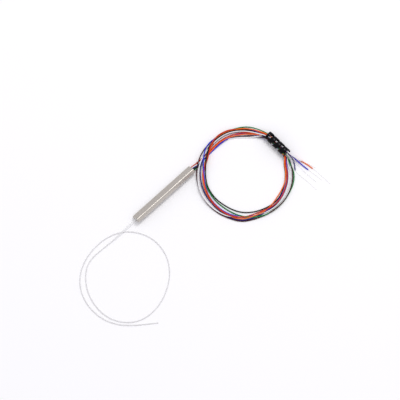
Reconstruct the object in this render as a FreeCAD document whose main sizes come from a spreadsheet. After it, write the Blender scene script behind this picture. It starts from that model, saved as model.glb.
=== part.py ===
import FreeCAD, Part
import math
import os
import Sketcher
from FreeCAD import Placement, Rotation, Vector

# One-by-eight planar splitter in a slim steel tube, with loose-tube tails.
# Millimetres and degrees. The module's axis runs along +X from the input to the outputs, +Z is
# up, and the origin lies under the middle of the module, on the surface that it rests on.
doc = FreeCAD.newDocument("plc_fibre_splitter")
sizes = doc.addObject("Spreadsheet::Sheet", "sizes")
used_rows = []


def dimension(alias, number, meaning):
    """Write one driving dimension into the sheet."""
    used_rows.append(alias)
    line = len(used_rows)
    sizes.set("A%d" % line, meaning)
    sizes.set("B%d" % line, str(number))
    sizes.setAlias("B%d" % line, alias)


# Steel tube
dimension("tube_length", 60, "length of the steel tube")
dimension("tube_width", 7, "wide side of the tube, outside")
dimension("tube_height", 4, "narrow side of the tube, outside")
dimension("tube_wall", 0.3, "sheet thickness of the tube")
dimension("tube_corner", 0.9, "outside radius of the tube's long corners")
dimension("roll_angle", 36, "roll of the module about its long axis, as the stiff tubes hold it")
# End seals
dimension("seal_length", 2.5, "length of each end seal")
dimension("seal_recess", 0.3, "depth of the seal's face inside the tube's end")
dimension("seal_clearance", 0.03, "gap between seal and tube wall")
dimension("hole_clearance", 0.02, "radial gap between a seal's hole and the cord in it")
# Cords
dimension("cord_diameter", 0.9, "loose tube over each fibre")
dimension("fibre_diameter", 0.25, "coated fibre")
dimension("glass_diameter", 0.125, "stripped fibre")
dimension("cord_insert", 3, "length of loose tube inside the module")
dimension("lead_pitch", 1.15, "spacing of the output cords across the tube")
dimension("lead_row_gap", 1.2, "distance between the two rows of output cords")
# Optical train
dimension("chip_start", -11, "input facet of the chip on the optical axis")
dimension("chip_length", 12, "waveguide chip, facet to facet")
dimension("chip_width", 2.4, "width of the chip and the input block")
dimension("train_drop", 1.0, "optical axis above the underside of chip and blocks")
dimension("cover_height", 1.0, "thickness of the cover glass and the block lids")
dimension("input_block_length", 6, "input fibre-array block")
dimension("output_block_length", 7, "output fibre-array block")
dimension("output_block_width", 2.9, "width of the output fibre-array block")
dimension("ledge_length", 2, "open ledge of each block, behind its lid")
dimension("facet_angle", 8, "polish angle of the optical facets")
dimension("glue_line", 0.02, "glue between a fibre's end and the chip's facet")
dimension("groove_pitch", 0.25, "spacing of the output V-grooves")
dimension("groove_angle", 60, "opening angle of a V-groove")
dimension("ribbon_length", 6, "bonded ribbon, ledge to fan-out")
dimension("ribbon_height", 0.32, "thickness of the ribbon")
dimension("ribbon_width", 2.2, "width of the ribbon")
dimension("fan_diameter", 0.22, "one fibre where the ribbon is split")
dimension("fan_root", 0.5, "length of a split fibre inside the ribbon's end")
dimension("bed_width", 2.0, "width of the silicone bead")
dimension("bed_margin", 1.5, "bead's end, in from the end of the outer blocks")
# Output coil and its wrap
dimension("coil_x", 58.9, "coil centre along the module's axis")
dimension("coil_y", -30.9, "coil centre across the module's axis")
dimension("coil_radius", 34.6, "middle of the cords round the coil")
dimension("single_width", 8.4, "band of cords where they lie once round")
dimension("single_height", 1.9, "height of that band")
dimension("double_width", 9.6, "band of cords where the turns overlap")
dimension("double_height", 2.8, "height of that band")
dimension("band_corner", 0.85, "rounding of the bands")
dimension("landing", 39.2, "where the leads run into the coil, along the module's axis")
dimension("landing_side", -2.6, "inner side of the leads' landing, across the module's axis")
dimension("bundle_width", 5.0, "cords gathered inside the wrap, across")
dimension("bundle_offset", 34.4, "middle of the wrap from the coil centre")
dimension("bundle_start", 11, "gathered bundle, entry side of the coil centre")
dimension("bundle_end", 10.2, "gathered bundle, exit side of the coil centre")
dimension("entry_radius", 35.5, "cords drawing together ahead of the wrap, from the coil centre")
dimension("entry_width", 7.0, "width of the cords there")
dimension("entry_height", 3.9, "height of the cords there")
dimension("entry_level", 2.35, "middle of the cords there above the floor")
dimension("passing_width", 3.8, "width of the cords that pass on out of the wrap")
dimension("passing_height", 2.3, "height of those cords")
dimension("passing_drop", 1.2, "middle of those cords below the wrap's axis")
dimension("exit_radius", 35.2, "cords spreading again after the wrap, from the coil centre")
dimension("exit_width", 5.8, "width of the cords there")
dimension("exit_height", 2.1, "height of the cords there")
dimension("exit_level", 1.4, "middle of the cords there above the floor")
dimension("wrap_diameter", 7, "spiral wrap, outside")
dimension("wrap_thickness", 0.8, "wall of the spiral wrap")
dimension("wrap_pitch", 5.85, "advance of the spiral in one turn")
dimension("wrap_band", 4.9, "width of the spiral's band")
dimension("wrap_turns", 3.15, "turns of the spiral")
dimension("wrap_start", 9.6, "middle of the band's first end from the coil centre")
dimension("wrap_tip", 1.6, "length of the pointed cut on the band's ends")
doc.recompute()

AXIS_HEIGHT = (
    "(sizes.tube_width / 2 - sizes.tube_corner) * sin(sizes.roll_angle)"
    " + (sizes.tube_height / 2 - sizes.tube_corner) * cos(sizes.roll_angle) + sizes.tube_corner"
)
CHIP_END = "(sizes.chip_start + sizes.chip_length)"
INPUT_BLOCK_START = "(sizes.chip_start - sizes.input_block_length)"
OUTPUT_BLOCK_END = "(sizes.chip_start + sizes.chip_length + sizes.output_block_length)"
CORD_END = "(sizes.tube_length / 2 - sizes.cord_insert)"
GLASS = "(sizes.glass_diameter / 2)"
OUTPUTS = ["blue", "orange", "green", "brown", "slate", "white", "red", "black"]


def value(expression):
    """The number that an expression on the sheet stands for."""
    return float(sizes.evalExpression(expression))


def body(label):
    """A PartDesign body that exports under its label."""
    made = doc.addObject("PartDesign::Body", label)
    made.Label = label
    return made


def in_module(made):
    """Lay a body on the module's axis, rolled with it."""
    made.Placement = Placement(Vector(0, 0, 1), Rotation(Vector(-1, 0, 0), 30))
    made.setExpression("Placement.Base.z", AXIS_HEIGHT)
    made.setExpression("Placement.Rotation.Angle", "sizes.roll_angle")
    return made


def origin_feature(made, role):
    """The body's own origin plane or axis of that role."""
    return [item for item in made.Origin.OriginFeatures if item.Role == role][0]


def sketch(made, role, name, offset="0", turn=None):
    """A sketch on an origin plane, moved along its normal or turned about the upright axis."""
    drawn = made.newObject("Sketcher::SketchObject", name)
    drawn.AttachmentSupport = [(origin_feature(made, role), "")]
    drawn.MapMode = "FlatFace"
    if turn is not None:
        drawn.AttachmentOffset = Placement(Vector(), Rotation(Vector(0, 1, 0), turn))
    drawn.setExpression("AttachmentOffset.Base.z", offset)
    return drawn


def outline(drawn, corners):
    """A closed polygon; each corner's two coordinates are expressions on the sheet."""
    places = [Vector(value(x), value(y), 0) for x, y in corners]
    first = drawn.GeometryCount
    count = len(corners)
    for k in range(count):
        drawn.addGeometry(Part.LineSegment(places[k], places[(k + 1) % count]), False)
    for k in range(count):
        after = first + (k + 1) % count
        drawn.addConstraint(Sketcher.Constraint("Coincident", first + k, 2, after, 1))
    for k, (x, y) in enumerate(corners):
        for kind, size in (("DistanceX", x), ("DistanceY", y)):
            number = drawn.addConstraint(
                Sketcher.Constraint(kind, -1, 1, first + k, 1, value(size))
            )
            drawn.setExpression("Constraints[%d]" % number, size)


def rectangle(drawn, width, height, x="0", y="0"):
    """A rectangle about a middle point."""
    left, right = "%s - %s / 2" % (x, width), "%s + %s / 2" % (x, width)
    low, high = "%s - %s / 2" % (y, height), "%s + %s / 2" % (y, height)
    outline(drawn, [(left, low), (right, low), (right, high), (left, high)])


def circle(drawn, radius, x="0", y="0"):
    """A circle at a place given by expressions."""
    made = drawn.addGeometry(
        Part.Circle(Vector(value(x), value(y), 0), Vector(0, 0, 1), value(radius)), False
    )
    for kind, size in (("DistanceX", x), ("DistanceY", y)):
        number = drawn.addConstraint(Sketcher.Constraint(kind, -1, 1, made, 3, value(size)))
        drawn.setExpression("Constraints[%d]" % number, size)
    number = drawn.addConstraint(Sketcher.Constraint("Radius", made, value(radius)))
    drawn.setExpression("Constraints[%d]" % number, radius)


def rounded(drawn, width, height, corner, x="0", y="0"):
    """A rectangle with rounded corners: four lines joined by four tangent arcs."""
    w, h, r = value(width) / 2, value(height) / 2, value(corner)
    cx, cy = value(x), value(y)
    up = Vector(0, 0, 1)
    corners = [(1, -1, 270), (1, 1, 0), (-1, 1, 90), (-1, -1, 180)]
    arcs, lines = [], []
    for sx, sy, start in corners:
        middle = Vector(cx + sx * (w - r), cy + sy * (h - r), 0)
        a, b = math.radians(start), math.radians(start + 90)
        arcs.append(
            drawn.addGeometry(Part.ArcOfCircle(Part.Circle(middle, up, r), a, b), False)
        )
    ends = [
        ((-w + r, -h), (w - r, -h)),
        ((w, -h + r), (w, h - r)),
        ((w - r, h), (-w + r, h)),
        ((-w, h - r), (-w, -h + r)),
    ]
    for p, q in ends:
        line = Part.LineSegment(Vector(cx + p[0], cy + p[1], 0), Vector(cx + q[0], cy + q[1], 0))
        lines.append(drawn.addGeometry(line, False))
    for k in range(4):
        drawn.addConstraint(Sketcher.Constraint("Tangent", lines[k], 2, arcs[k], 1))
        drawn.addConstraint(Sketcher.Constraint("Tangent", arcs[k], 2, lines[(k + 1) % 4], 1))
        drawn.addConstraint(
            Sketcher.Constraint("Horizontal" if k % 2 == 0 else "Vertical", lines[k])
        )
    for k in range(1, 4):
        drawn.addConstraint(Sketcher.Constraint("Equal", arcs[0], arcs[k]))
    bound = [
        (Sketcher.Constraint("Radius", arcs[0], r), corner),
        (
            Sketcher.Constraint("DistanceX", arcs[2], 3, arcs[0], 3, 2 * (w - r)),
            "%s - 2 * %s" % (width, corner),
        ),
        (
            Sketcher.Constraint("DistanceY", arcs[0], 3, arcs[2], 3, 2 * (h - r)),
            "%s - 2 * %s" % (height, corner),
        ),
        (
            Sketcher.Constraint("DistanceX", -1, 1, arcs[1], 3, cx + w - r),
            "%s + %s / 2 - %s" % (x, width, corner),
        ),
        (
            Sketcher.Constraint("DistanceY", -1, 1, arcs[1], 3, cy + h - r),
            "%s + %s / 2 - %s" % (y, height, corner),
        ),
    ]
    for constraint, size in bound:
        number = drawn.addConstraint(constraint)
        drawn.setExpression("Constraints[%d]" % number, size)


def pad(made, drawn, length, both_ways=False):
    """Pad a sketch along its normal, or half of the length to each side."""
    added = made.newObject("PartDesign::Pad", drawn.Name + "_pad")
    added.Profile = drawn
    added.Midplane = both_ways
    added.setExpression("Length", length)
    made.Tip = added
    return added


def pocket(made, drawn, length=None, reverse=False):
    """Cut a sketch out of its body, right through where no length is given."""
    cut = made.newObject("PartDesign::Pocket", drawn.Name + "_cut")
    cut.Profile = drawn
    cut.Type = 0 if length else 1
    cut.Reversed = reverse
    if length:
        cut.setExpression("Length", length)
    made.Tip = cut
    return cut


def pattern(made, feature, drawn, occurrences, span):
    """Repeat a feature along its sketch's horizontal axis."""
    repeated = made.newObject("PartDesign::LinearPattern", feature.Name + "_row")
    repeated.Originals = [feature]
    repeated.Direction = (drawn, ["H_Axis"])
    repeated.Occurrences = occurrences
    repeated.setExpression("Length", span)
    made.Tip = repeated
    return repeated


# --- steel tube ---------------------------------------------------------------------------
# Drawn stainless tube, cut to length and deburred.
TUBE_START = "-sizes.tube_length / 2"
steel_tube = in_module(body("steel_tube"))
section = sketch(steel_tube, "YZ_Plane", "tube_outside", TUBE_START)
rounded(section, "sizes.tube_width", "sizes.tube_height", "sizes.tube_corner")
pad(steel_tube, section, "sizes.tube_length")
section = sketch(steel_tube, "YZ_Plane", "tube_bore", TUBE_START)
rounded(
    section,
    "(sizes.tube_width - 2 * sizes.tube_wall)",
    "(sizes.tube_height - 2 * sizes.tube_wall)",
    "(sizes.tube_corner - sizes.tube_wall)",
)
pocket(steel_tube, section, None, True)


# --- end seals ----------------------------------------------------------------------------
# Moulded elastomer plugs, glued into the tube's ends round the cords.
def end_seal(label, start):
    """A plug that fits the tube's bore."""
    seal = in_module(body(label))
    drawn = sketch(seal, "YZ_Plane", label + "_plug", start)
    gap = "2 * sizes.tube_wall - 2 * sizes.seal_clearance"
    rounded(
        drawn,
        "(sizes.tube_width - %s)" % gap,
        "(sizes.tube_height - %s)" % gap,
        "(sizes.tube_corner - sizes.tube_wall - sizes.seal_clearance)",
    )
    pad(seal, drawn, "sizes.seal_length")
    return seal


HOLE = "(sizes.cord_diameter / 2 + sizes.hole_clearance)"
INPUT_SEAL_START = "-sizes.tube_length / 2 + sizes.seal_recess"
OUTPUT_SEAL_START = "sizes.tube_length / 2 - sizes.seal_recess - sizes.seal_length"
input_seal = end_seal("input_end_seal", INPUT_SEAL_START)
hole = sketch(input_seal, "YZ_Plane", "input_hole", INPUT_SEAL_START)
circle(hole, HOLE)
pocket(input_seal, hole, None, True)

output_seal = end_seal("output_end_seal", OUTPUT_SEAL_START)
holes = sketch(output_seal, "YZ_Plane", "output_holes", OUTPUT_SEAL_START)
for side in ("sizes.lead_row_gap / 2", "-sizes.lead_row_gap / 2"):
    circle(holes, HOLE, "-1.5 * sizes.lead_pitch", side)
first_pair = pocket(output_seal, holes, None, True)
pattern(output_seal, first_pair, holes, 4, "3 * sizes.lead_pitch")


# --- optical train ------------------------------------------------------------------------
# Two glass fibre-array blocks bonded to the two polished facets of the waveguide chip. All four
# facets lean by the polish angle, and the fibres lie on the module's axis.
def facet(place, height):
    """Where a leaning facet that starts at a place on the axis is, at some height."""
    return "%s + (%s) * tan(sizes.facet_angle)" % (place, height)


def plate(label, width, corners):
    """A flat glass or silica piece: its side view, padded to its width."""
    made = in_module(body(label))
    drawn = sketch(made, "XZ_Plane", label + "_side")
    outline(drawn, corners)
    pad(made, drawn, width, True)
    return made


def wedge(drawn, side="0"):
    """The V of a groove that holds a stripped fibre with its top level with the block's."""
    tip = "-%s / sin(sizes.groove_angle / 2)" % GLASS
    half = "(%s + %s / sin(sizes.groove_angle / 2)) * tan(sizes.groove_angle / 2)" % (GLASS, GLASS)
    outline(
        drawn,
        [
            (side, tip),
            ("%s + %s" % (side, half), GLASS),
            ("%s - %s" % (side, half), GLASS),
        ],
    )


LOW = "-sizes.train_drop"
TOP = "sizes.cover_height"
BLOCK_TOP = "(%s + sizes.cover_height)" % GLASS
plate(
    "plc_chip",
    "sizes.chip_width",
    [
        (facet("sizes.chip_start", LOW), LOW),
        (facet(CHIP_END, LOW), LOW),
        (CHIP_END, "0"),
        ("sizes.chip_start", "0"),
    ],
)
plate(
    "chip_cover_glass",
    "sizes.chip_width",
    [
        ("sizes.chip_start", "0"),
        (CHIP_END, "0"),
        (facet(CHIP_END, TOP), TOP),
        (facet("sizes.chip_start", TOP), TOP),
    ],
)

INPUT_LEDGE = "(%s + sizes.ledge_length)" % INPUT_BLOCK_START
INPUT_REST = "-sizes.fibre_diameter / 2"
input_block = plate(
    "input_v_groove_block",
    "sizes.chip_width",
    [
        (INPUT_BLOCK_START, LOW),
        (facet("sizes.chip_start", LOW), LOW),
        (facet("sizes.chip_start", GLASS), GLASS),
        (INPUT_LEDGE, GLASS),
        (INPUT_LEDGE, INPUT_REST),
        (INPUT_BLOCK_START, INPUT_REST),
    ],
)
groove = sketch(input_block, "YZ_Plane", "input_groove", INPUT_LEDGE)
wedge(groove)
pocket(input_block, groove, None, True)
plate(
    "input_block_lid",
    "sizes.chip_width",
    [
        (INPUT_LEDGE, GLASS),
        (facet("sizes.chip_start", GLASS), GLASS),
        (facet("sizes.chip_start", BLOCK_TOP), BLOCK_TOP),
        (INPUT_LEDGE, BLOCK_TOP),
    ],
)

OUTPUT_LEDGE = "(%s - sizes.ledge_length)" % OUTPUT_BLOCK_END
OUTPUT_REST = "-sizes.ribbon_height / 2"
output_block = plate(
    "output_v_groove_block",
    "sizes.output_block_width",
    [
        (facet(CHIP_END, LOW), LOW),
        (OUTPUT_BLOCK_END, LOW),
        (OUTPUT_BLOCK_END, OUTPUT_REST),
        (OUTPUT_LEDGE, OUTPUT_REST),
        (OUTPUT_LEDGE, GLASS),
        (facet(CHIP_END, GLASS), GLASS),
    ],
)
groove = sketch(output_block, "YZ_Plane", "output_groove", OUTPUT_LEDGE)
wedge(groove, "-3.5 * sizes.groove_pitch")
first_groove = pocket(output_block, groove)
pattern(output_block, first_groove, groove, 8, "7 * sizes.groove_pitch")
plate(
    "output_block_lid",
    "sizes.output_block_width",
    [
        (facet(CHIP_END, GLASS), GLASS),
        (OUTPUT_LEDGE, GLASS),
        (OUTPUT_LEDGE, BLOCK_TOP),
        (facet(CHIP_END, BLOCK_TOP), BLOCK_TOP),
    ],
)

# Silicone bead between the tube's floor and the train.
FLOOR = "(sizes.tube_wall - sizes.tube_height / 2)"
plate(
    "adhesive_bed",
    "sizes.bed_width",
    [
        ("%s + sizes.bed_margin" % INPUT_BLOCK_START, FLOOR),
        ("%s - sizes.bed_margin" % OUTPUT_BLOCK_END, FLOOR),
        ("%s - sizes.bed_margin" % OUTPUT_BLOCK_END, LOW),
        ("%s + sizes.bed_margin" % INPUT_BLOCK_START, LOW),
    ],
)

# --- fibres inside the module -------------------------------------------------------------
# The input fibre is coated up to the block's ledge and stripped in its groove.
inner_fibre = in_module(body("inner_input_fibre"))
drawn = sketch(inner_fibre, "XZ_Plane", "fibre_profile")
outline(
    drawn,
    [
        ("-" + CORD_END, "0"),
        ("sizes.chip_start - sizes.glue_line", "0"),
        ("sizes.chip_start - sizes.glue_line", GLASS),
        (INPUT_LEDGE, GLASS),
        (INPUT_LEDGE, "sizes.fibre_diameter / 2"),
        ("-" + CORD_END, "sizes.fibre_diameter / 2"),
    ],
)
turned = inner_fibre.newObject("PartDesign::Revolution", "fibre_turned")
turned.Profile = drawn
turned.ReferenceAxis = (origin_feature(inner_fibre, "X_Axis"), [""])
turned.Angle = 360
inner_fibre.Tip = turned

# Eight fibres: stripped in the grooves, bonded in a ribbon, fanned out to the output cords.
ribbon = in_module(body("output_ribbon"))
drawn = sketch(ribbon, "YZ_Plane", "ribbon_section", OUTPUT_LEDGE)
rounded(drawn, "sizes.ribbon_width", "sizes.ribbon_height", "0.3 * sizes.ribbon_height")
pad(ribbon, drawn, "sizes.ribbon_length")
drawn = sketch(ribbon, "YZ_Plane", "stripped_fibre", CHIP_END + " + sizes.glue_line")
circle(drawn, GLASS, "-3.5 * sizes.groove_pitch")
first_fibre = pad(
    ribbon, drawn, "sizes.output_block_length - sizes.ledge_length - sizes.glue_line"
)
pattern(ribbon, first_fibre, drawn, 8, "7 * sizes.groove_pitch")
RIBBON_END = "%s + sizes.ribbon_length - sizes.fan_root" % OUTPUT_LEDGE
for k in range(8):
    near = sketch(ribbon, "YZ_Plane", "fan_start_%d" % (k + 1), RIBBON_END)
    circle(near, "sizes.fan_diameter / 2", "%s * sizes.groove_pitch" % (k - 3.5))
    far = sketch(ribbon, "YZ_Plane", "fan_end_%d" % (k + 1), CORD_END)
    row = "%s * sizes.lead_row_gap" % (0.5 if k % 2 == 0 else -0.5)
    circle(far, "sizes.fan_diameter / 2", "%s * sizes.lead_pitch" % (k // 2 - 1.5), row)
    fan = ribbon.newObject("PartDesign::AdditiveLoft", "fan_%d" % (k + 1))
    fan.Profile = near
    fan.Sections = [far]
    fan.Ruled = True
    ribbon.Tip = fan


# --- output coil --------------------------------------------------------------------------
# The eight output cords, wound one and a third times round and gathered where the wrap holds
# them: once round as a single band, twice where the turns overlap.
coil = body("output_coil")
coil.setExpression("Placement.Base.x", "sizes.coil_x")
coil.setExpression("Placement.Base.y", "sizes.coil_y")
coil_axis = (origin_feature(coil, "Z_Axis"), [""])
BUNDLE_LEVEL = "sizes.wrap_diameter / 2"


def across(name, turn, radius, width, height, corner, level):
    """A section of the cords on the upright plane at an angle round the coil."""
    made = sketch(coil, "XZ_Plane", name, "0", turn)
    rounded(made, width, height, corner, radius, level)
    return made


def round_the_coil(profile, angle, clockwise):
    """Revolve a section about the coil's centre."""
    made = coil.newObject("PartDesign::Revolution", profile.Name + "_band")
    made.Profile = profile
    made.ReferenceAxis = coil_axis
    made.Angle = angle
    made.Reversed = clockwise
    coil.Tip = made


def loft(start, *others):
    """Blend one section of the cords into the next."""
    made = coil.newObject("PartDesign::AdditiveLoft", start.Name + "_blend")
    made.Profile = start
    made.Sections = list(others)
    coil.Tip = made


def double_band(name, turn):
    """The band of two turns at an angle."""
    level = "sizes.double_height / 2"
    size = ("sizes.double_width", "sizes.double_height", "sizes.band_corner")
    return across(name, turn, "sizes.coil_radius", *size, level)


def single_band(name, turn):
    """The band of one turn at an angle."""
    level = "sizes.single_height / 2"
    size = ("sizes.single_width", "sizes.single_height", "sizes.band_corner")
    return across(name, turn, "sizes.coil_radius", *size, level)


DOUBLE_FROM, DOUBLE_TO, SINGLE_FROM = 40, 128, -40
round_the_coil(double_band("double", DOUBLE_FROM), DOUBLE_TO - DOUBLE_FROM, False)
gathered = sketch(coil, "XZ_Plane", "gathered", "-sizes.bundle_start")
rounded(
    gathered,
    "sizes.bundle_width",
    "sizes.bundle_width",
    "0.46 * sizes.bundle_width",
    "sizes.bundle_offset",
    BUNDLE_LEVEL,
)
entering = across(
    "entering",
    29,
    "sizes.entry_radius",
    "sizes.entry_width",
    "sizes.entry_height",
    "0.4 * sizes.entry_height",
    "sizes.entry_level",
)
loft(double_band("double_end", DOUBLE_FROM), entering, gathered)
pad(coil, gathered, "sizes.bundle_start + sizes.bundle_end")
passing = sketch(coil, "XZ_Plane", "passing", "sizes.bundle_end")
rounded(
    passing,
    "sizes.passing_width",
    "sizes.passing_height",
    "0.4 * sizes.passing_height",
    "(sizes.bundle_offset - 0.1 * sizes.passing_width)",
    "(%s - sizes.passing_drop)" % BUNDLE_LEVEL,
)
leaving = across(
    "leaving",
    -28,
    "sizes.exit_radius",
    "sizes.exit_width",
    "sizes.exit_height",
    "0.4 * sizes.exit_height",
    "sizes.exit_level",
)
loft(passing, leaving, single_band("single_end", SINGLE_FROM))
round_the_coil(single_band("single", SINGLE_FROM), 360 + SINGLE_FROM - DOUBLE_TO, True)
step = sketch(coil, "XY_Plane", "landing_step")
outline(
    step,
    [
        ("-sizes.coil_x + sizes.tube_length / 2", "-sizes.coil_y + sizes.landing_side"),
        ("-sizes.coil_x + sizes.landing", "-sizes.coil_y + sizes.landing_side"),
        ("-sizes.coil_x + sizes.landing", "-sizes.coil_y + sizes.tube_width"),
        ("-sizes.coil_x + sizes.tube_length / 2", "-sizes.coil_y + sizes.tube_width"),
    ],
)
pocket(coil, step, None, True)

# --- spiral wrap --------------------------------------------------------------------------
# Black spiral wrapping band, left-handed, round the gathered cords.
wrap = body("spiral_wrap")
wrap.setExpression("Placement.Base.x", "sizes.coil_x + sizes.bundle_offset")
wrap.setExpression("Placement.Base.y", "sizes.coil_y")
wrap.setExpression("Placement.Base.z", BUNDLE_LEVEL)
band = sketch(wrap, "YZ_Plane", "wrap_band_section")
OUTER = "sizes.wrap_diameter / 2"
INNER = "(sizes.wrap_diameter / 2 - sizes.wrap_thickness)"
ACROSS = "sizes.wrap_thickness"
rectangle(band, "sizes.wrap_band", ACROSS, "sizes.wrap_start", "(%s + %s) / 2" % (OUTER, INNER))
spiral = wrap.newObject("PartDesign::AdditiveHelix", "spiral")
spiral.Profile = band
spiral.ReferenceAxis = (origin_feature(wrap, "Y_Axis"), [""])
spiral.Mode = 1
spiral.LeftHanded = True
spiral.Reversed = True
spiral.setExpression("Pitch", "sizes.wrap_pitch")
spiral.setExpression("Turns", "sizes.wrap_turns")
wrap.Tip = spiral
WRAP_HEAD = "sizes.wrap_start + sizes.wrap_band / 2 - sizes.wrap_tip"
WRAP_TAIL = "sizes.wrap_start - sizes.wrap_turns * sizes.wrap_pitch - sizes.wrap_band / 2"
for name, offset, onward in (
    ("head_trim", "-(%s)" % WRAP_HEAD, False),
    ("tail_trim", "-(%s + sizes.wrap_tip)" % WRAP_TAIL, True),
):
    trim = sketch(wrap, "XZ_Plane", name, offset)
    circle(trim, "sizes.wrap_diameter")
    pocket(wrap, trim, None, onward)


# --- free cords ---------------------------------------------------------------------------
# Each route is a list of points; its straight runs are joined by tangent arcs.
def route_wire(label, points):
    """The path of a cord and its length: runs and arcs as large as the runs allow."""
    points = [Vector(*point) for point in points]
    edges, at, least = [], points[0], 1e9
    for k in range(1, len(points) - 1):
        arrive = points[k] - points[k - 1]
        leave = points[k + 1] - points[k]
        turn = arrive.getAngle(leave)
        reach = 0.45 * min(arrive.Length, leave.Length)
        radius = reach / math.tan(turn / 2)
        least = min(least, radius)
        arrive.normalize()
        leave.normalize()
        start, end = points[k] - arrive * reach, points[k] + leave * reach
        inward = (leave - arrive).normalize()
        middle = points[k] + inward * (radius / math.cos(turn / 2) - radius)
        edges.append(Part.LineSegment(at, start).toShape())
        edges.append(Part.Arc(start, middle, end).toShape())
        at = end
    edges.append(Part.LineSegment(at, points[-1]).toShape())
    wire = Part.Wire(edges)
    print("%-22s length %6.1f  least radius %5.1f" % (label, wire.Length, least))
    return wire


def cord(label, diameter, points):
    """A round cord swept along its route."""
    path = doc.addObject("Part::Feature", label + "_route")
    path.Shape = route_wire(label, points)
    ring = doc.addObject("Part::Circle", label + "_section")
    ring.setExpression("Radius", "%s / 2" % diameter)
    along = Vector(*points[1]) - Vector(*points[0])
    ring.Placement = Placement(Vector(*points[0]), Rotation(Vector(0, 0, 1), along))
    swept = doc.addObject("Part::Sweep", label)
    swept.Sections = [ring]
    swept.Spine = (path, ["Edge%d" % (k + 1) for k in range(len(path.Shape.Edges))])
    swept.Solid = True
    swept.Frenet = False
    return swept


def in_module_point(x, across_tube, up):
    """A point of the module's own rolled frame, as a point of the part."""
    placed = steel_tube.Placement.multVec(Vector(value(x), value(across_tube), value(up)))
    return (placed.x, placed.y, placed.z)


doc.recompute()
# The input cord: out along the module's axis, over its own loop, once and a quarter round.
cord(
    "input_fibre",
    "sizes.cord_diameter",
    [
        in_module_point("-" + CORD_END, "0", "0"),
        in_module_point("-sizes.tube_length / 2 - 1", "0", "0"),
        (-37.5, 0.1, 3.3),
        (-46.0, -0.1, 2.9),
        (-54.5, 0.1, 1.2),
        (-63.0, 0.6, 0.45),
        (-72.0, 1.0, 0.45),
        (-80.0, 0.0, 0.45),
        (-87.2, -4.3, 0.45),
        (-93.0, -10.8, 0.45),
        (-97.6, -19.0, 0.45),
        (-100.0, -28.3, 0.45),
        (-100.2, -37.9, 0.45),
        (-97.9, -46.6, 0.45),
        (-93.2, -53.9, 0.45),
        (-87.1, -59.3, 0.45),
        (-79.0, -62.8, 0.45),
        (-69.7, -63.4, 0.45),
        (-59.6, -61.4, 0.45),
        (-50.0, -57.0, 0.45),
        (-41.0, -50.4, 0.45),
        (-34.3, -41.5, 0.45),
        (-30.7, -30.7, 0.45),
        (-30.8, -19.4, 0.45),
        (-34.8, -9.4, 0.45),
        (-41.7, -1.2, 0.45),
        (-51.0, 4.0, 0.45),
        (-61.8, 6.0, 0.45),
        (-73.0, 5.3, 0.45),
        (-83.5, 2.2, 0.45),
        (-92.6, -3.4, 0.45),
        (-99.5, -11.6, 0.45),
        (-103.4, -21.6, 0.45),
        (-104.4, -32.3, 0.45),
        (-102.5, -42.8, 0.45),
        (-97.8, -52.0, 0.45),
        (-90.8, -59.6, 0.45),
        (-82.4, -66.2, 0.45),
        (-74.0, -72.5, 0.45),
    ],
)

# Output leads: from inside the seal down to the coil, four by two.
EXIT = "sizes.tube_length / 2 + 1.7"
LANDINGS = {
    "blue": (-1.75, 1.85),
    "orange": (-1.75, 0.62),
    "green": (-0.6, 1.85),
    "brown": (-0.6, 0.62),
    "slate": (0.55, 1.85),
    "white": (0.55, 0.62),
    "red": (1.7, 1.85),
    "black": (1.7, 0.62),
}
for k, colour in enumerate(OUTPUTS):
    place = ("%s * sizes.lead_pitch" % (k // 2 - 1.5), "%s * sizes.lead_row_gap" % (0.5 - k % 2))
    side, height = LANDINGS[colour]
    route = [
        in_module_point(CORD_END, *place),
        in_module_point(EXIT, *place),
        (35.6, side, height),
        (39.2, side, height),
    ]
    cord(colour + "_lead", "sizes.cord_diameter", route)

# Output tails: the ends of four cords past the wrap, and the bare fibre out of all eight.
TAILS = {
    "blue": [
        (94.3, -41.1, 4.2),
        (94.3, -43.0, 4.2),
        (95.1, -46.4, 3.2),
        (96.0, -50.2, 1.6),
        (96.8, -54.5, 0.55),
        (97.3, -59.1, 0.45),
        (97.9, -63.7, 0.45),
    ],
    "orange": [
        (95.3, -41.1, 4.3),
        (95.3, -43.0, 4.3),
        (96.1, -46.2, 3.5),
        (97.5, -49.6, 1.9),
        (99.0, -53.4, 0.55),
        (100.1, -58.2, 0.45),
        (100.8, -63.0, 0.45),
    ],
    "slate": [
        (93.2, -41.1, 4.2),
        (93.2, -43.0, 4.2),
        (93.7, -46.0, 3.7),
        (94.2, -49.2, 2.3),
        (93.8, -52.3, 0.6),
        (92.2, -55.2, 0.45),
    ],
    "white": [
        (94.7, -41.1, 5.2),
        (94.7, -43.0, 5.2),
        (95.8, -46.2, 4.7),
        (97.3, -49.6, 3.2),
        (98.9, -52.9, 1.75),
    ],
}
for colour in ("blue", "orange", "slate", "white"):
    cord(colour + "_tail", "sizes.cord_diameter", TAILS[colour])

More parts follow.
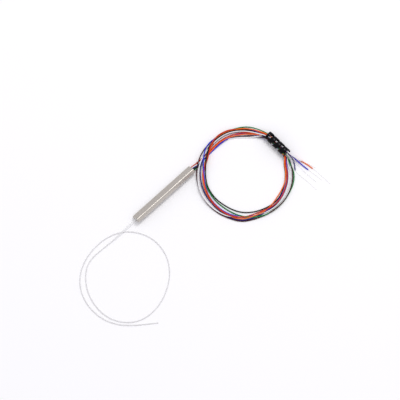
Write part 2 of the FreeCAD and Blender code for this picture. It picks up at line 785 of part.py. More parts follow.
BARE_ENDS = {
    "blue": [(97.9, -63.7, 0.45), (98.4, -67.5, 0.45), (98.9, -71.3, 0.2), (99.3, -75.1, 0.13)],
    "orange": [
        (100.8, -63.0, 0.45),
        (101.5, -67.8, 0.45),
        (101.6, -74.5, 0.2),
        (101.9, -81.5, 0.13),
    ],
    "green": [
        (92.3, -41.1, 4.8),
        (92.3, -43.0, 4.8),
        (93.2, -46.4, 4.6),
        (94.2, -50.2, 3.5),
        (94.6, -55.5, 1.6),
        (94.2, -63.0, 0.3),
        (95.1, -72.8, 0.13),
    ],
    "brown": [(91.7, -41.1, 4.3), (91.7, -43.0, 4.3), (92.0, -45.2, 4.1), (92.2, -47.6, 3.6)],
    "slate": [
        (92.2, -55.2, 0.45),
        (90.9, -57.556, 0.328),
        (90.5, -62.0, 0.2),
        (90.9, -69.9, 0.13),
        (90.6, -77.6, 0.13),
    ],
    "white": [(98.9, -52.9, 1.75), (99.8, -54.756, 0.934), (101.4, -58.6, 0.5), (102.6, -64.0, 0.13)],
    "red": [
        (93.8, -41.1, 5.55),
        (93.8, -43.0, 5.55),
        (94.6, -46.5, 4.9),
        (95.5, -50.4, 3.3),
        (96.3, -55.4, 1.7),
        (97.1, -60.5, 1.15),
    ],
    "black": [
        (92.9, -41.1, 5.2),
        (92.9, -43.0, 5.2),
        (93.8, -46.5, 5.0),
        (95.0, -50.5, 3.7),
        (95.6, -55.0, 1.7),
    ],
}
for colour in OUTPUTS:
    cord(colour + "_bare_fibre", "sizes.fibre_diameter", BARE_ENDS[colour])

# --- check and export ---------------------------------------------------------------------
doc.recompute()
pieces = [item for item in doc.Objects if item.TypeId in ("PartDesign::Body", "Part::Sweep")]
for item in doc.Objects:
    wrong = [state for state in item.State if state in ("Invalid", "Error")]
    if wrong:
        raise RuntimeError("%s did not build: %s" % (item.Name, wrong))
for item in pieces:
    if item.Shape.isNull() or not item.Shape.isValid() or len(item.Shape.Solids) != 1:
        raise RuntimeError("%s is not one sound solid" % item.Name)
for item in pieces:
    if item.TypeId == "Part::Sweep":
        section = item.Sections[0].Shape.Length ** 2 / (4 * math.pi)
        ratio = item.Shape.Volume / (section * item.Spine[0].Shape.Length)
        print("%-22s volume / (section x length) %.4f" % (item.Label, ratio))
os.makedirs("parts", exist_ok=True)
for item in pieces:
    item.Shape.exportStep("parts/%s.step" % item.Label)
print("%d parts" % len(pieces))
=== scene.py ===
import math

import bpy
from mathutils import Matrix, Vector


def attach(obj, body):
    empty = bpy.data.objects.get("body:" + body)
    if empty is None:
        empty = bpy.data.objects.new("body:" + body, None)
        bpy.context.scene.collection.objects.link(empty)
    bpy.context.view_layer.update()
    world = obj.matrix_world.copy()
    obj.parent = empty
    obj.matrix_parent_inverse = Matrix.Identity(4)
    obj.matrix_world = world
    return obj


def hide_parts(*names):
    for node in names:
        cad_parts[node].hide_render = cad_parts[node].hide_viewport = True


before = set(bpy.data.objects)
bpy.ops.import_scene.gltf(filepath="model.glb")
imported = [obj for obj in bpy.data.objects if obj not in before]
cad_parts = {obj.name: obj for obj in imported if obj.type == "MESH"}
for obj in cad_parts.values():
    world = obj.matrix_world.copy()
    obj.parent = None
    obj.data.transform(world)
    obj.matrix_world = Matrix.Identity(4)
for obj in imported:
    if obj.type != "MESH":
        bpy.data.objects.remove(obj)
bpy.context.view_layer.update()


# --- Camera -------------------------------------------------------------------------------
# A long lens high over the splitter, so that its lines stay nearly parallel. It looks steeply
# down, and about half a right angle away from the module's length.
bpy.ops.object.select_all(action="DESELECT")
CAMERA_LENS = 250.0
SENSOR_WIDTH = 36.0
VIEW_WIDTH = 0.3116
VIEW_HEADING = math.radians(-43.5)
VIEW_ELEVATION = math.radians(71.0)
VIEW_CENTRE = Vector((0.01779, -0.02198, 0.0))
distance = VIEW_WIDTH * CAMERA_LENS / SENSOR_WIDTH
towards = Vector(
    (
        -math.sin(VIEW_HEADING) * math.cos(VIEW_ELEVATION),
        math.cos(VIEW_HEADING) * math.cos(VIEW_ELEVATION),
        -math.sin(VIEW_ELEVATION),
    )
)
bpy.ops.object.camera_add(
    location=VIEW_CENTRE - towards * distance,
    rotation=(math.pi / 2 - VIEW_ELEVATION, 0, VIEW_HEADING),
)
camera = bpy.context.object
camera.data.lens = CAMERA_LENS
camera.data.clip_start = 0.1
bpy.context.scene.camera = camera


# --- Input cord ---------------------------------------------------------------------------
# One fibre in a natural, slightly milky loose tube. It is extruded round the fibre, sealed into
# the module's end, and lies in a loose ring of nearly a turn and a half.
TUBE_DIAMETER = 0.0009
MARK_DEPTH = 0.00002


def new_material(name):
    """An empty material: itself, its node tree and its shader."""
    made = bpy.data.materials.new(name)
    made.use_nodes = True
    return made, made.node_tree, made.node_tree.nodes["Principled BSDF"]


def noise(tree, scale, detail=2.0, place=None):
    """A soft random pattern fixed to the piece."""
    if place is None:
        place = tree.nodes.new("ShaderNodeTexCoord").outputs["Object"]
    pattern = tree.nodes.new("ShaderNodeTexNoise")
    pattern.inputs["Scale"].default_value = scale
    pattern.inputs["Detail"].default_value = detail
    tree.links.new(place, pattern.inputs["Vector"])
    return pattern.outputs["Fac"]


def spread(tree, pattern, low, high, start=0.0, end=1.0):
    """The stretch of a pattern from start to end, laid out between two values."""
    mapped = tree.nodes.new("ShaderNodeMapRange")
    mapped.inputs["From Min"].default_value = start
    mapped.inputs["From Max"].default_value = end
    mapped.inputs["To Min"].default_value = low
    mapped.inputs["To Max"].default_value = high
    tree.links.new(pattern, mapped.inputs["Value"])
    return mapped


def fine_marks(tree, pattern, strength):
    """The normal of a surface that carries a pattern as very shallow marks."""
    bump = tree.nodes.new("ShaderNodeBump")
    bump.inputs["Strength"].default_value = strength
    bump.inputs["Distance"].default_value = MARK_DEPTH
    tree.links.new(pattern, bump.inputs["Height"])
    return bump.outputs["Normal"]


def tube_wall_group():
    """Slight clouding, gloss changes and drawing lines of an extruded plastic tube."""
    group = bpy.data.node_groups.new("extruded_wall", "ShaderNodeTree")
    for name, kind in (("Colour", "NodeSocketColor"), ("Clouding", "NodeSocketFloat")):
        group.interface.new_socket(name, in_out="INPUT", socket_type=kind)
    for name, kind in (
        ("Colour", "NodeSocketColor"),
        ("Roughness", "NodeSocketFloat"),
        ("Normal", "NodeSocketVector"),
    ):
        group.interface.new_socket(name, in_out="OUTPUT", socket_type=kind)
    nodes, links = group.nodes, group.links
    enter, leave = nodes.new("NodeGroupInput"), nodes.new("NodeGroupOutput")
    clouds = noise(group, 260.0, 3.0)
    lines = noise(group, 2600.0)
    darkest = nodes.new("ShaderNodeMath")
    darkest.operation = "SUBTRACT"
    darkest.inputs[0].default_value = 1.0
    links.new(enter.outputs["Clouding"], darkest.inputs[1])
    value = spread(group, clouds, 1.0, 1.0, start=0.3, end=0.7)
    links.new(darkest.outputs[0], value.inputs["To Max"])
    shade = nodes.new("ShaderNodeHueSaturation")
    links.new(enter.outputs["Colour"], shade.inputs["Color"])
    links.new(value.outputs["Result"], shade.inputs["Value"])
    links.new(shade.outputs["Color"], leave.inputs["Colour"])
    rough = spread(group, lines, 0.26, 0.46)
    links.new(rough.outputs["Result"], leave.inputs["Roughness"])
    links.new(fine_marks(group, lines, 0.25), leave.inputs["Normal"])
    return group


extruded_wall = tube_wall_group()


def add_wall(tree, shader, colour, clouding):
    """The extruded wall in one colour, on a material's colour and normal."""
    wall = tree.nodes.new("ShaderNodeGroup")
    wall.node_tree = extruded_wall
    wall.inputs["Colour"].default_value = (*colour, 1.0)
    wall.inputs["Clouding"].default_value = clouding
    tree.links.new(wall.outputs["Colour"], shader.inputs["Base Color"])
    tree.links.new(wall.outputs["Normal"], shader.inputs["Normal"])
    shader.inputs["IOR"].default_value = 1.5
    return wall


def loose_tube(name, colour, clouding, see_through):
    """Satin tube plastic in one colour."""
    made, tree, plastic = new_material(name)
    wall = add_wall(tree, plastic, colour, clouding)
    tree.links.new(wall.outputs["Roughness"], plastic.inputs["Roughness"])
    plastic.inputs["Specular IOR Level"].default_value = 0.15
    plastic.inputs["Alpha"].default_value = 1.0 - see_through
    return made


def lay_cord(name, points, diameter, material):
    """A cord on a smooth line led by its points."""
    curve = bpy.data.curves.new(name, "CURVE")
    curve.dimensions = "3D"
    curve.resolution_u = 6
    curve.bevel_depth = diameter / 2
    curve.bevel_resolution = 3
    curve.use_fill_caps = True
    line = curve.splines.new("NURBS")
    line.points.add(len(points) - 1)
    for point, place in zip(line.points, points):
        point.co = (*place, 1.0)
    line.order_u = 3
    line.use_endpoint_u = True
    curve.materials.append(material)
    cord = bpy.data.objects.new(name, curve)
    bpy.context.scene.collection.objects.link(cord)
    return cord


INPUT_ROUTE = [
    (-0.027, 0.0, 0.00332),
    (-0.031, 0.0, 0.00332),
    (-0.0375, 0.0001, 0.0033),
    (-0.046, -0.0001, 0.0029),
    (-0.0545, 0.0001, 0.0012),
    (-0.063, 0.0006, 0.00045),
    (-0.072, 0.001, 0.00045),
    (-0.08, 0.0, 0.00045),
    (-0.0872, -0.0043, 0.00045),
    (-0.093, -0.0108, 0.00045),
    (-0.0976, -0.019, 0.00045),
    (-0.1, -0.0283, 0.00045),
    (-0.1002, -0.0379, 0.00045),
    (-0.0979, -0.0466, 0.00045),
    (-0.0932, -0.0539, 0.00045),
    (-0.0871, -0.0593, 0.00045),
    (-0.079, -0.0628, 0.00045),
    (-0.0697, -0.0634, 0.00045),
    (-0.0596, -0.0614, 0.00045),
    (-0.05, -0.057, 0.00045),
    (-0.041, -0.0504, 0.00045),
    (-0.0343, -0.0415, 0.00045),
    (-0.0307, -0.0307, 0.00045),
    (-0.0308, -0.0194, 0.00045),
    (-0.0348, -0.0094, 0.00045),
    (-0.0417, -0.0012, 0.00045),
    (-0.051, 0.004, 0.00045),
    (-0.0618, 0.006, 0.00045),
    (-0.073, 0.0053, 0.00045),
    (-0.0835, 0.0022, 0.00045),
    (-0.0926, -0.0034, 0.00045),
    (-0.0995, -0.0116, 0.00045),
    (-0.1034, -0.0216, 0.00045),
    (-0.1044, -0.0323, 0.00045),
    (-0.1025, -0.0428, 0.00045),
    (-0.0978, -0.052, 0.00045),
    (-0.0908, -0.0596, 0.00045),
    (-0.0824, -0.0662, 0.00045),
    (-0.074, -0.0725, 0.00045),
]
natural_tube = loose_tube("natural_tube", (0.86, 0.85, 0.86), 0.04, 0.5)
input_cord = lay_cord("input_cord", INPUT_ROUTE, TUBE_DIAMETER, natural_tube)
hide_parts("input_fibre")
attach(input_cord, "root")


# --- Output cords -------------------------------------------------------------------------
# Eight fibres, each in its own coloured loose tube. They leave the module in two rows of four,
# run once and a third round the coil, and cross each other where they were laid by hand.
TUBE_COLOURS = {
    "blue": (0.035, 0.035, 0.60),
    "orange": (0.88, 0.16, 0.02),
    "green": (0.012, 0.22, 0.055),
    "brown": (0.055, 0.006, 0.009),
    "slate": (0.02, 0.016, 0.16),
    "white": (0.90, 0.89, 0.92),
    "red": (0.58, 0.03, 0.012),
    "black": (0.012, 0.006, 0.006),
}
# Holes of the output seal, in the module as it is rolled on its edge.
ROLL = math.radians(36)
MODULE_LEVEL = 0.003318
HOLE_PITCH = 0.00115
ROW_GAP = 0.0012
SEAL_INNER_FACE = 0.027
SEAL_OUTER_FACE = 0.03
# The cords run straight out of the seal, and come down to the floor over this stretch.
STRAIGHT_OUT = 0.0017
LANDING = (0.0356, 0.0392)
# The coil, the bundle gathered in the wrap, the angles at which the cords' points lie, and the
# straight run before a cord's last stretch.
COIL_CENTRE = Vector((0.05757, -0.03168, 0.0))
BUNDLE_OFFSET = 0.0345
BUNDLE_LEVEL = 0.0035
WRAP_MOUTH = 0.0105
WRAP_INSIDE = 0.004
LEAD_IN_ANGLES = range(100, 39, -15)
ONCE_ROUND_ANGLES = range(-26, -321, -14)
TAIL_RUN = 0.006
# Where each strand changes place in the coil: degrees round it, then distance from its centre
# and height above the floor. The landing is its place across the module and its height where it
# nears the floor. The passes are places in the wrap, sideways and up from the bundle's middle.
# The hole is a column and row of the output seal.
COURSES = {
    "blue": {
        "hole": (1, 1),
        "landing": (-0.0001, 0.00045),
        "lead_in": [
            (100, 0.0328, 0.0005), (85, 0.0325, 0.0014), (55, 0.0346, 0.0005),
            (40, 0.0349, 0.0005),
        ],
        "first_pass": [(-0.00095, -0.00165), (-0.00095, -0.00165)],
        "once_round": [
            (-26, 0.0335, 0.0007), (-54, 0.0325, 0.0005), (-96, 0.0335, 0.0005),
            (-124, 0.0343, 0.0005), (-152, 0.0348, 0.0005), (-194, 0.0335, 0.0006),
            (-208, 0.0329, 0.0012), (-222, 0.0323, 0.0024), (-236, 0.0338, 0.0031),
            (-250, 0.0366, 0.0031), (-264, 0.039, 0.0024), (-278, 0.0386, 0.0006),
            (-292, 0.039, 0.0005), (-320, 0.0382, 0.0014),
        ],
        "second_pass": [(-0.0009, 0.0004), (0.00143, -0.00082)],
    },
    "orange": {
        "hole": (2, 1),
        "landing": (0.0009, 0.00045),
        "lead_in": [
            (100, 0.0332, 0.0014), (85, 0.0339, 0.0013), (55, 0.0338, 0.0013),
            (40, 0.0342, 0.0018),
        ],
        "first_pass": [(0.00095, 0.0), (-0.0019, 0.0)],
        "once_round": [
            (-26, 0.0318, 0.0012), (-54, 0.0315, 0.0012), (-68, 0.0307, 0.0005),
            (-82, 0.0307, 0.0005), (-110, 0.0338, 0.0012), (-124, 0.0348, 0.0018),
            (-138, 0.037, 0.0015), (-152, 0.0364, 0.0005), (-180, 0.035, 0.0005),
            (-208, 0.0338, 0.0021), (-236, 0.0334, 0.0022), (-250, 0.0328, 0.0022),
            (-264, 0.0356, 0.002), (-278, 0.0384, 0.0016), (-292, 0.039, 0.0016),
            (-306, 0.0385, 0.0023), (-320, 0.0385, 0.0019),
        ],
        "second_pass": [(0.0014, 0.0013), (0.00047, 0.00082)],
    },
    "green": {
        "hole": (0, 1),
        "landing": (-0.0011, 0.00045),
        "lead_in": [
            (100, 0.037, 0.0005), (70, 0.0387, 0.0005), (40, 0.038, 0.0005),
        ],
        "first_pass": [(0.00047, -0.00082), (0.0004, 0.0001)],
        "once_round": [
            (-26, 0.0357, 0.0019), (-40, 0.0383, 0.0008), (-54, 0.0382, 0.0006),
            (-68, 0.0371, 0.0005), (-96, 0.0363, 0.0005), (-110, 0.0366, 0.0014),
            (-138, 0.0345, 0.0014), (-152, 0.0328, 0.0006), (-166, 0.0318, 0.0005),
            (-194, 0.0316, 0.0005), (-208, 0.0322, 0.0011), (-250, 0.0339, 0.0015),
            (-264, 0.0358, 0.0012), (-278, 0.038, 0.0012), (-292, 0.039, 0.0014),
            (-320, 0.0404, 0.0015),
        ],
        "second_pass": [(0.0021, 0.0011), (-0.00143, 0.00082)],
    },
    "brown": {
        "hole": (3, 1),
        "landing": (0.0019, 0.00045),
        "lead_in": [
            (100, 0.0332, 0.0005), (85, 0.0338, 0.0005), (55, 0.0325, 0.0005),
            (40, 0.0331, 0.0005),
        ],
        "first_pass": [(-0.00143, -0.00082), (0.00095, -0.00165)],
        "once_round": [
            (-26, 0.0367, 0.0015), (-40, 0.0372, 0.0013), (-68, 0.0371, 0.0013),
            (-96, 0.0366, 0.0014), (-110, 0.0364, 0.0005), (-124, 0.0371, 0.0005),
            (-138, 0.0386, 0.0005), (-152, 0.038, 0.0005), (-180, 0.0382, 0.0008),
            (-208, 0.0382, 0.002), (-250, 0.0387, 0.0022), (-264, 0.0387, 0.0012),
            (-278, 0.0391, 0.0005), (-292, 0.0396, 0.0005), (-320, 0.0391, 0.0009),
        ],
        "second_pass": [(-0.0019, 0.0003), (0.0, 0.00165)],
    },
    "slate": {
        "hole": (1, 0),
        "landing": (-0.0006, 0.00135),
        "lead_in": [
            (100, 0.0357, 0.0005), (70, 0.0374, 0.0008), (40, 0.0368, 0.001),
        ],
        "first_pass": [(0.0, -0.00165), (0.0, -0.00165)],
        "once_round": [
            (-26, 0.0333, 0.0006), (-68, 0.0334, 0.0005), (-96, 0.034, 0.0006),
            (-110, 0.0344, 0.0007), (-124, 0.0363, 0.0008), (-138, 0.0378, 0.001),
            (-152, 0.0374, 0.0005), (-166, 0.036, 0.0005), (-180, 0.0354, 0.0005),
            (-208, 0.0355, 0.0016), (-222, 0.0355, 0.0023), (-250, 0.036, 0.0022),
            (-264, 0.0363, 0.0008), (-292, 0.0375, 0.0005), (-320, 0.0362, 0.0012),
        ],
        "second_pass": [(0.0005, 0.00075), (0.00143, 0.00082)],
    },
    "white": {
        "hole": (2, 0),
        "landing": (0.0004, 0.00135),
        "lead_in": [
            (100, 0.034, 0.0005), (85, 0.0344, 0.0005), (55, 0.0318, 0.0005),
            (40, 0.0315, 0.0005),
        ],
        "first_pass": [(0.0019, 0.0001), (0.0019, 0.0001)],
        "once_round": [
            (-26, 0.0342, 0.0012), (-40, 0.0357, 0.0005), (-96, 0.035, 0.0008),
            (-110, 0.0346, 0.0007), (-124, 0.0334, 0.0005), (-138, 0.0342, 0.0005),
            (-152, 0.0366, 0.0006), (-166, 0.0374, 0.0012), (-194, 0.0383, 0.0025),
            (-208, 0.0381, 0.003), (-222, 0.0374, 0.0025), (-250, 0.0363, 0.0023),
            (-264, 0.0362, 0.0015), (-292, 0.0374, 0.0016), (-320, 0.0362, 0.0016),
        ],
        "second_pass": [(-0.0005, 0.0015), (0.00095, 0.00165)],
    },
    "red": {
        "hole": (3, 0),
        "landing": (0.00145, 0.00135),
        "lead_in": [
            (100, 0.0342, 0.0013), (70, 0.035, 0.0013), (40, 0.0355, 0.0012),
        ],
        "first_pass": [(0.0, 0.0), (-0.0009, 0.00005)],
        "once_round": [
            (-26, 0.0327, 0.0011), (-54, 0.0328, 0.0013), (-82, 0.0336, 0.0013),
            (-96, 0.0335, 0.0017), (-110, 0.0324, 0.001), (-124, 0.0332, 0.0009),
            (-138, 0.0355, 0.0016), (-152, 0.0361, 0.002), (-194, 0.0338, 0.0019),
            (-222, 0.0329, 0.0021), (-236, 0.0325, 0.0022), (-250, 0.0324, 0.0028),
            (-264, 0.0363, 0.003), (-278, 0.0389, 0.0031), (-292, 0.0393, 0.0032),
            (-306, 0.0385, 0.0018), (-320, 0.0382, 0.0007),
        ],
        "second_pass": [(0.00045, 0.0016), (-0.00047, 0.00082)],
    },
    "black": {
        "hole": (0, 0),
        "landing": (-0.0016, 0.0012),
        "lead_in": [
            (100, 0.0371, 0.0005), (70, 0.0392, 0.0009), (40, 0.0389, 0.0012),
        ],
        "first_pass": [(0.00095, -0.00165), (-0.00143, -0.00082)],
        "once_round": [
            (-26, 0.0315, 0.0005), (-54, 0.0313, 0.0005), (-82, 0.0323, 0.0005),
            (-110, 0.0312, 0.0005), (-138, 0.031, 0.0005), (-166, 0.0299, 0.0005),
            (-194, 0.0307, 0.0005), (-208, 0.0313, 0.0012), (-222, 0.0313, 0.0021),
            (-236, 0.0319, 0.0032), (-250, 0.034, 0.0032), (-264, 0.0369, 0.0029),
            (-278, 0.0378, 0.0017), (-292, 0.0384, 0.0014), (-320, 0.0377, 0.0014),
        ],
        "second_pass": [(-0.0014, 0.0012), (-0.00095, 0.00165)],
    },
}
# Out of the wrap: four cords run on, and four end inside it.
TAILS = {
    "blue": [
        (0.09371, -0.03813, 0.004),
        (0.09376, -0.04067, 0.004),
        (0.09414, -0.04424, 0.0036),
        (0.09461, -0.0485, 0.0023),
        (0.09519, -0.05287, 0.001),
        (0.09571, -0.0573, 0.00045),
        (0.09621, -0.0622, 0.00045),
    ],
    "orange": [
        (0.09397, -0.04188, 0.0043),
        (0.09397, -0.04378, 0.0043),
        (0.09477, -0.04698, 0.0035),
        (0.09617, -0.05038, 0.0019),
        (0.09767, -0.05418, 0.00055),
        (0.09877, -0.05898, 0.00045),
        (0.09947, -0.06378, 0.00045),
    ],
    "green": [(0.09065, -0.04128, 0.00432)],
    "brown": [(0.09207, -0.04128, 0.00515)],
    "slate": [
        (0.09307, -0.03801, 0.0041),
        (0.09307, -0.04084, 0.0036),
        (0.09365, -0.04476, 0.0023),
        (0.09339, -0.04831, 0.0012),
        (0.09146, -0.05182, 0.0005),
        (0.08858, -0.05542, 0.00045),
    ],
    "white": [
        (0.09387, -0.04188, 0.005),
        (0.09382, -0.04388, 0.0051),
        (0.09454, -0.04722, 0.0045),
        (0.09594, -0.05062, 0.0029),
        (0.09717, -0.05338, 0.0016),
    ],
    "red": [(0.0916, -0.04128, 0.00432)],
    "black": [(0.09112, -0.04128, 0.00515)],
}
# The bare fibre past each cord's last point.
BARE_ENDS = {
    "blue": [
        (0.09682, -0.06668, 0.00045),
        (0.09743, -0.07117, 0.0002),
        (0.09793, -0.07565, 0.00013),
    ],
    "orange": [
        (0.10017, -0.06858, 0.00045),
        (0.10027, -0.07528, 0.0002),
        (0.10057, -0.08228, 0.00013),
    ],
    "green": [
        (0.09065, -0.04378, 0.00432),
        (0.09117, -0.04718, 0.0026),
        (0.09237, -0.05098, 0.0012),
        (0.09307, -0.05628, 0.0003),
        (0.09287, -0.06378, 0.0003),
        (0.09377, -0.07358, 0.00013),
    ],
    "brown": [
        (0.09207, -0.04378, 0.00515),
        (0.09067, -0.04598, 0.0041),
        (0.09087, -0.04838, 0.0036),
    ],
    "slate": [
        (0.08797, -0.05795, 0.00033),
        (0.08825, -0.06256, 0.0002),
        (0.08934, -0.07062, 0.00013),
        (0.08927, -0.07838, 0.00013),
    ],
    "white": [
        (0.09812, -0.05552, 0.00093),
        (0.09997, -0.05938, 0.0003),
        (0.10127, -0.06478, 0.00013),
    ],
    "red": [
        (0.0916, -0.04378, 0.00432),
        (0.09247, -0.04728, 0.0024),
        (0.09377, -0.05118, 0.001),
        (0.09467, -0.05618, 0.0003),
        (0.09547, -0.06128, 0.00013),
    ],
    "black": [
        (0.09112, -0.04378, 0.00515),
        (0.09167, -0.04728, 0.0028),
        (0.09307, -0.05128, 0.0014),
        (0.09377, -0.05578, 0.0004),
    ],
}
FIBRE_DIAMETER = 0.00025


def seal_place(x, column, row):
    """A point on the line of one of the seal's holes."""
    across, up = (column - 1.5) * HOLE_PITCH, (0.5 - row) * ROW_GAP
    y = across * math.cos(ROLL) + up * math.sin(ROLL)
    z = up * math.cos(ROLL) - across * math.sin(ROLL) + MODULE_LEVEL
    return (x, y, z)


def coil_point(course, degrees):
    """A point of a strand over the floor, at an angle round the coil's centre."""
    for (start, near, low), (end, far, high) in zip(course, course[1:]):
        if start >= degrees >= end:
            part = (start - degrees) / (start - end)
            radius = near + (far - near) * part
            level = low + (high - low) * part
    turned = math.radians(degrees)
    x = COIL_CENTRE.x + radius * math.cos(turned)
    y = COIL_CENTRE.y + radius * math.sin(turned)
    return (x, y, level)


def wrap_place(along, side, up):
    """A point in the gathered bundle inside the wrap."""
    return (COIL_CENTRE.x + BUNDLE_OFFSET + side, COIL_CENTRE.y + along, BUNDLE_LEVEL + up)


def output_route(colour):
    """The whole line of one output cord."""
    course = COURSES[colour]
    route = [seal_place(SEAL_INNER_FACE, *course["hole"])]
    route += [seal_place(SEAL_OUTER_FACE + STRAIGHT_OUT, *course["hole"])]
    route += [(x, *course["landing"]) for x in LANDING]
    route += [coil_point(course["lead_in"], degrees) for degrees in LEAD_IN_ANGLES]
    enter, leave = course["first_pass"]
    route += [wrap_place(WRAP_MOUTH, *enter), wrap_place(WRAP_INSIDE, *enter)]
    route += [wrap_place(-WRAP_INSIDE, *leave), wrap_place(-WRAP_MOUTH, *leave)]
    route += [coil_point(course["once_round"], degrees) for degrees in ONCE_ROUND_ANGLES]
    enter, inside = course["second_pass"]
    route += [wrap_place(WRAP_MOUTH, *enter), wrap_place(WRAP_INSIDE, *inside)]
    x, y, z = TAILS[colour][0]
    return route + [(x, y + TAIL_RUN, z)] + TAILS[colour]


bare_fibre = loose_tube("coated_fibre", (0.80, 0.79, 0.78), 0.02, 0.6)
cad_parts["inner_input_fibre"].data.materials[0] = bare_fibre
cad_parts["output_ribbon"].data.materials[0] = bare_fibre
for colour in TUBE_COLOURS:
    plastic = loose_tube(colour + "_tube", TUBE_COLOURS[colour], 0.12, 0.0)
    cord = lay_cord(colour + "_cord", output_route(colour), TUBE_DIAMETER, plastic)
    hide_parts(colour + "_lead", "output_coil")
    if len(TAILS[colour]) > 1:
        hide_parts(colour + "_tail")
    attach(cord, "root")
    bare_route = [TAILS[colour][-1], *BARE_ENDS[colour]]
    bare = lay_cord(colour + "_bare_end", bare_route, FIBRE_DIAMETER, bare_fibre)
    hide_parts(colour + "_bare_fibre")
    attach(bare, "root")


# --- Spiral wrap --------------------------------------------------------------------------
# A tube of black polyethylene cut as a spiral, wound left-handed round the gathered cords, and
# cut square across at both ends, which leaves its band pointed there.
bpy.ops.object.select_all(action="DESELECT")
WRAP_CENTRE = Vector((0.0926, -0.0315, 0.0037))
WRAP_RADIUS = 0.0036
WRAP_WALL = 0.0008
WRAP_PITCH = 0.0059
WRAP_BAND = 0.004
WRAP_ROUNDS = 6
WRAP_HEAD = 0.0112
WRAP_TAIL = -0.0106
WRAP_GAP = 0.0004
WRAP_EDGE = 0.00012
bpy.ops.mesh.primitive_plane_add(size=1.0, location=WRAP_CENTRE)
band = bpy.context.object
band.name = "spiral_band"
bpy.ops.object.mode_set(mode="EDIT")
bpy.ops.transform.resize(value=(WRAP_WALL, WRAP_BAND, 1.0))
first = WRAP_GAP + WRAP_PITCH * (1 - WRAP_ROUNDS) / 2
bpy.ops.transform.translate(value=(WRAP_RADIUS - WRAP_WALL / 2, first, 0.0))
bpy.ops.object.mode_set(mode="OBJECT")
winding = band.modifiers.new("winding", "SCREW")
winding.axis = "Y"
winding.angle = math.radians(-360.0)
winding.screw_offset = WRAP_PITCH
winding.iterations = WRAP_ROUNDS
winding.steps = 48
winding.render_steps = 48
winding.use_merge_vertices = False
bpy.ops.object.modifier_apply(modifier="winding")
bpy.ops.object.mode_set(mode="EDIT")
for cut, outward in ((WRAP_HEAD, 1.0), (WRAP_TAIL, -1.0)):
    bpy.ops.mesh.select_all(action="SELECT")
    bpy.ops.mesh.bisect(
        plane_co=WRAP_CENTRE + Vector((0.0, cut, 0.0)),
        plane_no=(0.0, outward, 0.0),
        use_fill=True,
        clear_outer=True,
    )
bpy.ops.mesh.select_all(action="SELECT")
bpy.ops.mesh.normals_make_consistent(inside=False)
bpy.ops.object.mode_set(mode="OBJECT")
rounding = band.modifiers.new("rounding", "BEVEL")
rounding.width = WRAP_EDGE
rounding.segments = 2
rounding.limit_method = "ANGLE"
rounding.angle_limit = math.radians(50.0)
bpy.ops.object.modifier_apply(modifier="rounding")
bpy.ops.object.transform_apply(location=True, rotation=True, scale=True)
bpy.ops.object.shade_smooth_by_angle(angle=math.radians(40.0))


def wrap_finish():
    """Glossy black polyethylene, faintly grained and scuffed."""
    made, tree, plastic = new_material("wrap_polyethylene")
    add_wall(tree, plastic, (0.003, 0.003, 0.005), 0.3)
    rough = spread(tree, noise(tree, 900.0, 4.0), 0.1, 0.24, start=0.35, end=0.7)
    tree.links.new(rough.outputs["Result"], plastic.inputs["Roughness"])
    plastic.inputs["Specular IOR Level"].default_value = 0.1
    return made


band.data.materials.clear()
band.data.materials.append(wrap_finish())
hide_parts("spiral_wrap")
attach(band, "root")


# --- Steel tube ---------------------------------------------------------------------------
# Drawn stainless tube of rectangular section, cut to length. Drawing leaves a fine grain along
# it, and handling leaves it slightly dull.
def drawn_steel():
    """Stainless steel with its grain along the tube."""
    made, tree, steel = new_material("drawn_stainless")
    place = tree.nodes.new("ShaderNodeTexCoord").outputs["Object"]
    along = tree.nodes.new("ShaderNodeMapping")
    along.inputs["Scale"].default_value = (40.0, 2600.0, 2600.0)
    tree.links.new(place, along.inputs["Vector"])
    grain = noise(tree, 1.0, 4.0, place=along.outputs["Vector"])
    colour = tree.nodes.new("ShaderNodeMix")
    colour.data_type = "RGBA"
    colour.inputs["A"].default_value = (0.50, 0.46, 0.42, 1.0)
    colour.inputs["B"].default_value = (0.66, 0.62, 0.57, 1.0)
    tree.links.new(grain, colour.inputs["Factor"])
    tree.links.new(colour.outputs["Result"], steel.inputs["Base Color"])
    rough = spread(tree, noise(tree, 120.0, 3.0), 0.25, 0.42)
    tree.links.new(rough.outputs["Result"], steel.inputs["Roughness"])
    tree.links.new(fine_marks(tree, grain, 0.2), steel.inputs["Normal"])
    steel.inputs["Metallic"].default_value = 1.0
    return made


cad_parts["steel_tube"].data.materials[0] = drawn_steel()


# --- End seals and silicone bed -----------------------------------------------------------
# Cast silicone: off-white plugs that close the tube's ends round the cords, and a soft
# translucent bead that holds the optics on the tube's floor.
seal_silicone = loose_tube("seal_silicone", (0.74, 0.72, 0.68), 0.1, 0.0)
bed_silicone = loose_tube("bed_silicone", (0.72, 0.74, 0.76), 0.05, 0.4)
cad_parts["input_end_seal"].data.materials[0] = seal_silicone
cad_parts["output_end_seal"].data.materials[0] = seal_silicone
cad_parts["adhesive_bed"].data.materials[0] = bed_silicone


# --- Optical train ------------------------------------------------------------------------
# Lapped and polished silica: the waveguide chip, its cover, and the grooved blocks and lids
# that hold the fibres against the chip's facets.
def polished_silica(name, colour, see_through):
    """Clear or doped silica with faint lapping haze."""
    made, tree, glass = new_material(name)
    rough = spread(tree, noise(tree, 3000.0), 0.02, 0.12)
    tree.links.new(rough.outputs["Result"], glass.inputs["Roughness"])
    glass.inputs["Base Color"].default_value = (*colour, 1.0)
    glass.inputs["IOR"].default_value = 1.46
    glass.inputs["Transmission Weight"].default_value = see_through
    return made


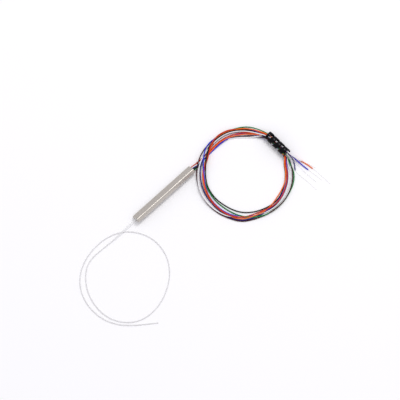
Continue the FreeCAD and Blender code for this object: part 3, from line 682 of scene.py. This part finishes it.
fused_silica = polished_silica("fused_silica", (0.90, 0.93, 0.95), 0.9)
chip_silica = polished_silica("chip_silica", (0.62, 0.66, 0.72), 0.4)
for node in (
    "input_v_groove_block",
    "input_block_lid",
    "chip_cover_glass",
    "output_v_groove_block",
    "output_block_lid",
):
    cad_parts[node].data.materials[0] = fused_silica
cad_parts["plc_chip"].data.materials[0] = chip_silica


# --- Floor and light ----------------------------------------------------------------------
# A matt white table under a pale sky that is brighter overhead. One lamp of a window's size
# stands high above it, towards the coil's side, and casts the soft shadows.
bpy.ops.object.select_all(action="DESELECT")
bpy.ops.mesh.primitive_plane_add(size=12.0, location=(0, 0, 0))
floor = bpy.context.object
floor.name = "floor"
white_table, _, table_shader = new_material("white_table")
table_shader.inputs["Base Color"].default_value = (0.96, 0.955, 0.975, 1.0)
table_shader.inputs["Roughness"].default_value = 1.0
table_shader.inputs["Specular IOR Level"].default_value = 0.0
floor.data.materials.append(white_table)

world = bpy.data.worlds.new("daylight")
bpy.context.scene.world = world
world.use_nodes = True
sky = world.node_tree.nodes["Background"]
sky.inputs["Color"].default_value = (0.975, 0.97, 1.0, 1.0)
direction = world.node_tree.nodes.new("ShaderNodeTexCoord")
height = world.node_tree.nodes.new("ShaderNodeSeparateXYZ")
world.node_tree.links.new(direction.outputs["Generated"], height.inputs["Vector"])
overhead = spread(world.node_tree, height.outputs["Z"], 0.68, 0.84, start=0.3)
world.node_tree.links.new(overhead.outputs["Result"], sky.inputs["Strength"])

LAMP_DISTANCE = 2.0
lamp_side = Vector((0.40, 0.13, 0.91)).normalized()
lamp_place = VIEW_CENTRE + lamp_side * LAMP_DISTANCE
bpy.ops.object.light_add(type="AREA", location=lamp_place)
window = bpy.context.object
window.name = "window"
window.data.shape = "RECTANGLE"
window.data.size = 0.4
window.data.size_y = 0.9
window.data.energy = 13.8
window.data.color = (1.0, 0.99, 0.97)
window.rotation_euler = (-lamp_side).to_track_quat("-Z", "Y").to_euler()

bpy.context.scene.view_settings.view_transform = "Standard"
bpy.context.view_layer.update()
